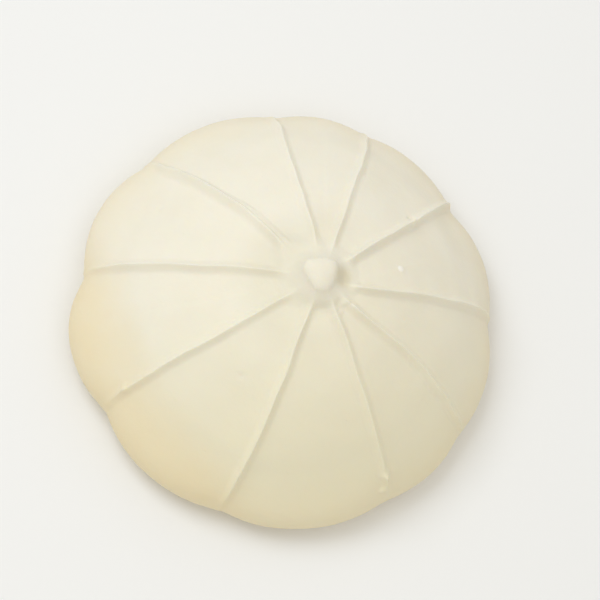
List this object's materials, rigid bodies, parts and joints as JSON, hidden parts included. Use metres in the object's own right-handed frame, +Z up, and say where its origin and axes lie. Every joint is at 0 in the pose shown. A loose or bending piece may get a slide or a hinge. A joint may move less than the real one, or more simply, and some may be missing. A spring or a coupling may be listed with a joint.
{
  "type": "meringue cookie",
  "caption": "Piped meringue cookie: a creamy white dome with thin raised crests running up to a small nub, on a flat toasted underside.",
  "frame": {"origin": "middle of the flat underside, on the axis of the dome", "axes": "+Z up from the underside through the nub; +Y away from the side that the main view looks at; +X to the right"},
  "size_m": [0.0549, 0.0551, 0.03],
  "materials": {
    "meringue": "dry, matt, creamy white baked foam, lightly toasted underneath"
  },
  "bodies": {
    "root": {"meringue": "meringue"}
  },
  "joints": []
}
